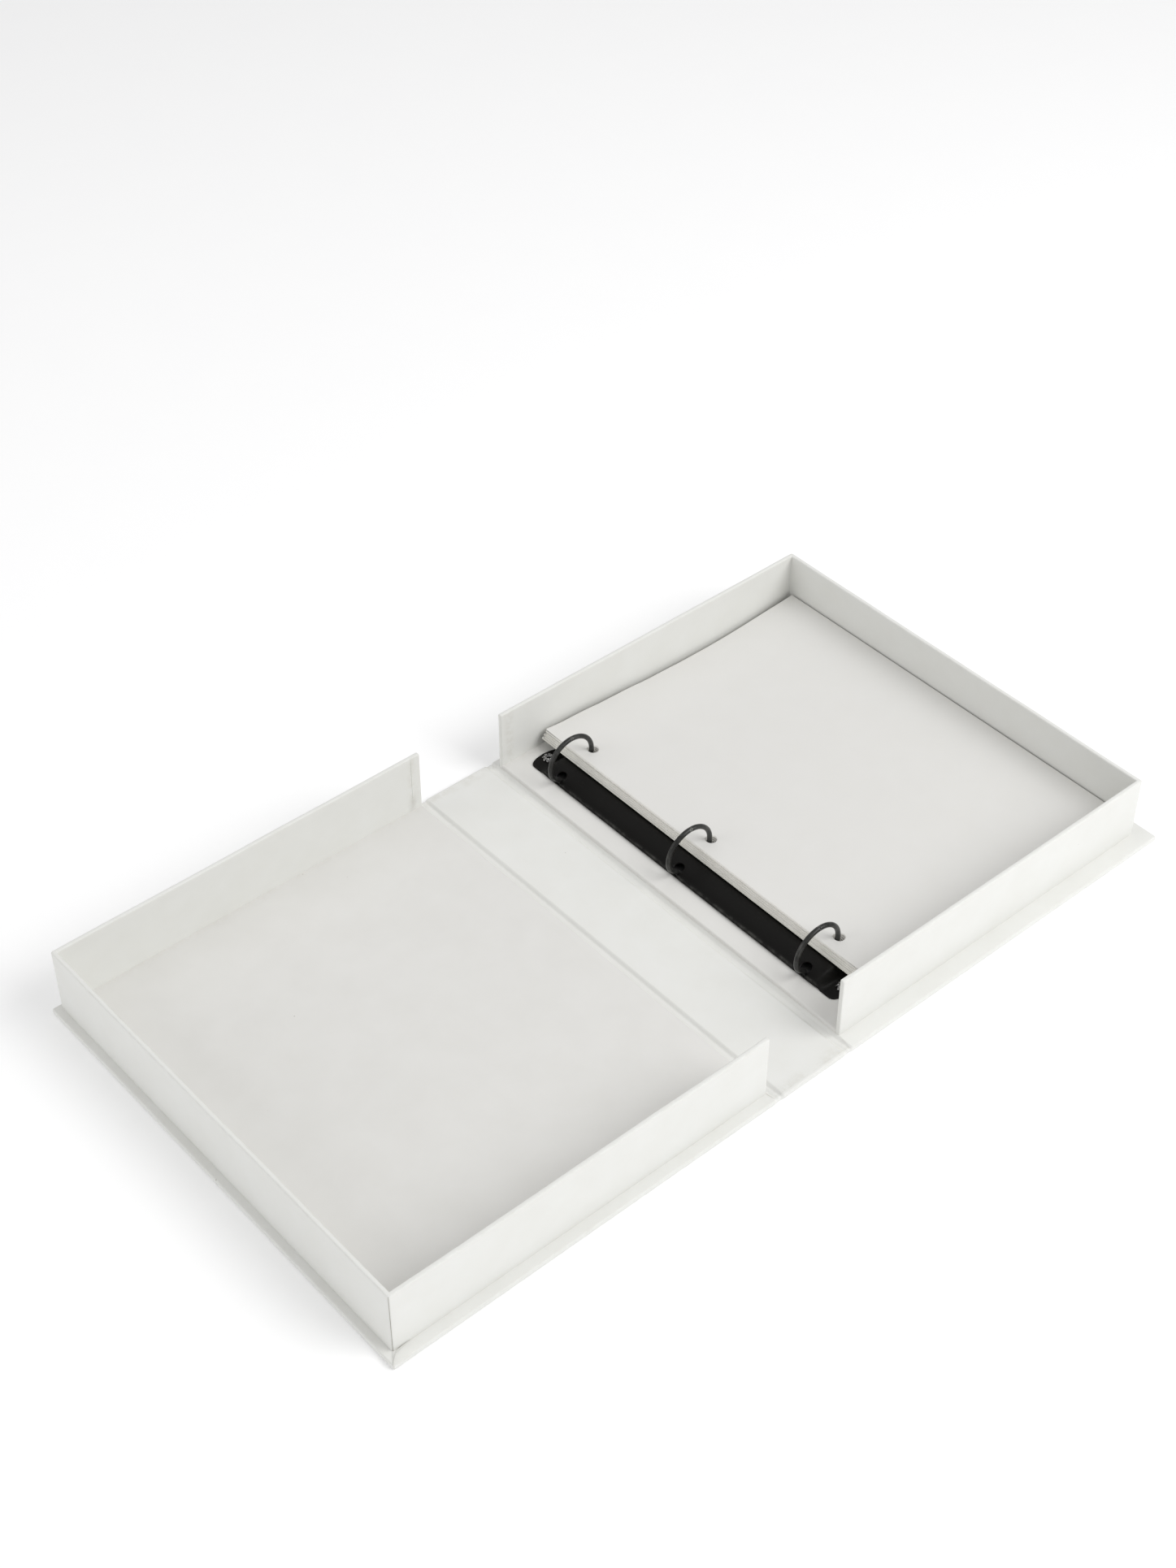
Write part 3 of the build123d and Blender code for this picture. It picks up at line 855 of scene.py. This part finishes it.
def cover_section(y_offset):
    half, rim, rise, flat = cover_shape(abs(y_offset))
    roll = min(bead, rim * 0.55, half * 0.3)
    lip = min(cover_lip, half * 0.5)
    shoulder = half - roll * 0.5
    left = [(-half + lip, 0.0)]
    left += [
        (-half + roll + roll * math.cos(math.radians(a)), roll + roll * math.sin(math.radians(a)))
        for a in (270, 240, 210, 180, 155, 130)
    ]
    radius = (shoulder**2 + rise**2) / (2 * rise)
    sweep = math.asin(min(1.0, shoulder / radius))
    arc = [
        (radius * math.sin(a), rim + rise - radius + radius * math.cos(a))
        for a in spread(-sweep, sweep, 25)
    ]
    outer = left + arc + [(-x, z) for x, z in reversed(left)]
    inner = []
    for x, z in outer:
        pull = (half - cover_sheet) / half
        if z <= roll:
            depth = lerp(cover_sheet, 0.2, flat) - z * 0.2
            inner.append((x * pull if abs(x) > half - lip + 0.01 else x, z + depth))
        else:
            inner.append((x * pull, lerp(max(z - cover_sheet, cover_sheet), 0.35, flat)))
    base = floor_top + 0.02
    ring = [(mechanism.x + x, mechanism.y + y_offset, base + z) for x, z in outer]
    return ring + [(mechanism.x + x, mechanism.y + y_offset, base + z) for x, z in reversed(inner)]


def slot_cutter():
    """Six keyhole prisms: a round window each, open outwards through the rim."""
    points, faces = [], []
    mouth = math.asin(notch_half / slot_radius)
    round_run = spread(mouth, 2 * math.pi - mouth, 33)
    outline = [(slot_radius * math.cos(a), slot_radius * math.sin(a)) for a in round_run]
    outline += [(end_half + 3 - slot_out, -notch_half), (end_half + 3 - slot_out, notch_half)]
    low, high = floor_top + notch_height, floor_top + rim_height + dome_rise + 3
    for turn in ring_names.values():
        for sign in (-1, 1):
            start = len(points)
            count = len(outline)
            for z in (low, high):
                points += [
                    (mechanism.x + sign * (slot_out + x), mechanism.y + turn * ring_pitch + y, z)
                    for x, y in outline
                ]
            faces += [
                (start + k, start + (k + 1) % count, start + count + (k + 1) % count, start + count + k)
                for k in range(count)
            ]
            faces.append(tuple(start + k for k in range(count)))
            faces.append(tuple(start + count + k for k in reversed(range(count))))
    return make_piece("slot_cutter", points, faces, [black_steel])


def ring_cover():
    """Sprung steel cover: domed, with rolled edges, keyhole slots and flat flared ends."""
    body = spread(0, dome_half, 40)[1:] + spread(dome_half, rivet_out, 22)[1:]
    tips = [rivet_out + end_round * math.sin(math.radians(a)) for a in (12, 24, 36, 48, 60, 70, 79, 85)]
    half_run = body + tips
    run = [-d for d in reversed(half_run)] + [0.0] + half_run
    points, faces = closed_loft([cover_section(d) for d in run])
    shell = make_piece("ring_cover_shell", points, faces, [black_steel])
    cutter = slot_cutter()
    cut = shell.modifiers.new("slots", "BOOLEAN")
    cut.operation = "DIFFERENCE"
    cut.solver = "EXACT"
    cut.object = cutter
    bpy.context.view_layer.update()
    result = bpy.data.meshes.new_from_object(shell.evaluated_get(bpy.context.evaluated_depsgraph_get()))
    shell.modifiers.clear()
    shell.data = result
    bpy.data.objects.remove(cutter)
    return finish_piece(shell, ["ring_cover"], body="ring_tray")


def tube_rings(profile, centre):
    """Upright rings of revolution from (radius, height) points."""
    angles = [math.radians(k * 15) for k in range(24)]
    return [
        [(centre[0] + r * math.cos(a), centre[1] + r * math.sin(a), z) for a in angles]
        for r, z in profile
    ]


def petal(centre, turn, plate_top):
    """One split petal of a star rivet, rolled outwards and down onto the plate."""
    rows = []
    run = [(1.5, 0.85, 0.55), (1.75, 1.45, 0.62), (2.15, 1.85, 0.74), (2.7, 1.85, 0.88)]
    run += [(3.3, 1.5, 0.94), (3.85, 1.0, 0.84), (4.3, 0.6, 0.5)]
    for reach, rise, half in run:
        for across in (-1, -0.5, 0, 0.5, 1):
            a = turn + across * half / reach
            cup = 0.18 * (1 - across**2)
            x = centre[0] + reach * math.cos(a)
            y = centre[1] + reach * math.sin(a)
            rows.append((x, y, plate_top + rise + cup))
    return thicken(rows, grid(len(run), 5), (0, 0, 0.32))


def star_rivets():
    """Both hollow rivets: head under the floor, tube, rolled throat and eight curled petals."""
    points, faces = [], []
    plate_top = floor_top + end_rim + end_rise
    for sign in (-1, 1):
        centre = (mechanism.x, mechanism.y + sign * rivet_out)
        profile = [(1.3, rivet_low.z), (4.3, rivet_low.z)]
        profile += [(4.3, rivet_low.z + 0.45), (1.95, rivet_low.z + 0.5)]
        profile += [(1.95, plate_top + 0.6), (1.8, plate_top + 1.0)]
        profile += [(1.5, plate_top + 1.05), (1.3, plate_top + 0.8)]
        tube_points, tube_faces = loft(tube_rings(profile, centre))
        rings, count = len(profile), 24
        last = (rings - 1) * count
        tube_faces += [(last + k, last + (k + 1) % count, (k + 1) % count, k) for k in range(count)]
        parts = [(tube_points, tube_faces)]
        for k in range(8):
            twist = dice.uniform(-0.07, 0.07)
            petal_points, petal_faces, _ = petal(centre, k * math.pi / 4 + twist, plate_top)
            parts.append((petal_points, petal_faces))
        for part_points, part_faces in parts:
            base = len(points)
            points += part_points
            faces += [tuple(base + v for v in face) for face in part_faces]
    piece = make_piece("star_rivets", points, faces, [rivet_steel])
    return finish_piece(piece, ["ring_rivets"], body="ring_tray")


def wire_middle(distance):
    """Middle of a ring's wire at a distance from its tip: out, up, and how far it has turned."""
    turn = math.radians(round_turn)
    last = math.radians(90 + leg_lean)
    reach = ring_radius - knee_radius
    round_run = ring_radius * turn
    knee_run = knee_radius * (last - turn)
    if distance <= round_run:
        a = distance / ring_radius
        return ring_radius * math.sin(a), mechanism.z + ring_radius * math.cos(a), a
    a = min(last, turn + (distance - round_run) / knee_radius)
    out = reach * math.sin(turn) + knee_radius * math.sin(a)
    height = mechanism.z + reach * math.cos(turn) + knee_radius * math.cos(a)
    straight = max(0.0, distance - round_run - knee_run)
    return out + straight * math.cos(a), height - straight * math.sin(a), a


def wire_length():
    """Wire from a ring's tip down to the top of its blade."""
    distance = 0.0
    while wire_middle(distance)[1] > blade_axis_z + blade_thick / 2:
        distance += 0.05
    return distance


def ring_half(side, sign, name, turn):
    """Half a ring: a tongue or socket at its tip, round wire, a knee, and a foot in its blade."""
    y = mechanism.y + turn * ring_pitch
    if sign < 0:
        tip = [(-0.80, 0.02), (-0.80, 0.40), (-0.65, 0.52), (0.06, 0.55), (0.06, 1.30), (0.30, wire_radius)]
    else:
        tip = [(1.05, 0.02), (1.05, 0.85), (0.06, 0.9), (0.06, 1.30), (0.30, wire_radius)]
    end = wire_length()
    bend = [(d, wire_radius) for d in spread(1.2, end - 1.2, 66)]
    foot = [(end - 0.2, 1.35), (end + 0.2, 1.15), (end + 0.85, 1.15), (end + 0.85, 0.02)]
    rings = []
    for distance, radius in tip + bend + foot:
        out, height, a = wire_middle(max(0.0, distance))
        past = min(0.0, distance)
        middle = Vector((mechanism.x + sign * (out + past), y, height))
        outwards = Vector((sign * math.sin(a), 0, math.cos(a)))
        circle = []
        for k in range(24):
            b = k * math.pi / 12
            circle.append(middle + outwards * radius * math.cos(b) + Vector((0, radius * math.sin(b), 0)))
        rings.append(circle)
    points, faces = loft(rings)
    faces.append(tuple(range(24)))
    faces.append(tuple((len(rings) - 1) * 24 + k for k in range(24)))
    piece = make_piece(f"{side}_ring_{name}_wire", points, faces, [ring_steel])
    return finish_piece(piece, [f"{side}_ring_{name}"], body=f"{side}_ring_set")


# ================================================================ build
for side, sign, body, seed in (("left", -1, "lid_tray", 11), ("right", 1, "ring_tray", 23)):
    outer_covering(side, sign, body)
    inner_lining(side, sign, body)
    tray_walls(side, sign, body, seed)
    tray_floor(side, sign, body, seed)
    for ring_name, ring_turn in ring_names.items():
        ring_half(side, sign, ring_name, ring_turn)
lifted_corner()
sheet_bundles()
ring_cover()
star_rivets()


# ================================================================ studio
def studio_floor():
    reach = 6.0
    mesh = bpy.data.meshes.new("studio_floor")
    level = -0.0002
    corners = [(-reach, -reach, level), (reach, -reach, level), (reach, reach, level), (-reach, reach, level)]
    mesh.from_pydata(corners, [], [(0, 1, 2, 3)])
    floor = bpy.data.objects.new("studio_floor", mesh)
    bpy.context.scene.collection.objects.link(floor)
    material, tree, shader = new_finish("white studio floor", 0.9, specular=0.1)
    place = place_mm(tree)
    grain = texture(tree, "ShaderNodeTexNoise", 0.02, place, detail=3.0)
    white = tint(tree, grain.outputs["Fac"], (0.97, 0.97, 0.975), (0.985, 0.985, 0.985))
    tree.links.new(white, shader.inputs["Base Color"])
    shader.inputs["Emission Color"].default_value = (1.0, 1.0, 1.0, 1)
    shader.inputs["Emission Strength"].default_value = 0.085
    mesh.materials.append(material)


def soft_light(name, place, size, power):
    light = bpy.data.lights.new(name, "AREA")
    light.shape = "SQUARE"
    light.size = size
    light.energy = power
    lamp = bpy.data.objects.new(name, light)
    lamp.location = place
    lamp.rotation_mode = "QUATERNION"
    lamp.rotation_quaternion = (-Vector(place)).to_track_quat("-Z", "Y")
    bpy.context.scene.collection.objects.link(lamp)


def studio_camera():
    azimuth, elevation = math.radians(-40.8465), math.radians(42.121)
    distance = 1.54617
    aim = Vector((0.06406, 0.1065, 0))
    back = Vector(
        (
            math.sin(azimuth) * math.cos(elevation),
            -math.cos(azimuth) * math.cos(elevation),
            math.sin(elevation),
        )
    )
    lens = bpy.data.cameras.new("studio_camera")
    lens.lens = 56.77
    lens.sensor_width = 36
    camera = bpy.data.objects.new("studio_camera", lens)
    camera.location = aim + back * distance
    camera.rotation_mode = "QUATERNION"
    camera.rotation_quaternion = (-back).to_track_quat("-Z", "Y")
    bpy.context.scene.collection.objects.link(camera)
    bpy.context.scene.camera = camera


def studio_sky():
    world = bpy.data.worlds.new("studio sky")
    world.use_nodes = True
    world.node_tree.nodes["Background"].inputs["Color"].default_value = (1.0, 1.0, 1.0, 1)
    world.node_tree.nodes["Background"].inputs["Strength"].default_value = 0.50
    bpy.context.scene.world = world


studio_floor()
studio_sky()
soft_light("key_softbox", (1.0, -1.6, 1.7), 1.8, 39)
soft_light("top_softbox", (0.2, 0.6, 2.2), 2.2, 7)
soft_light("left_softbox", (-2.0, 0.6, 1.0), 1.6, 10)
studio_camera()
bpy.context.scene.view_settings.view_transform = "Standard"
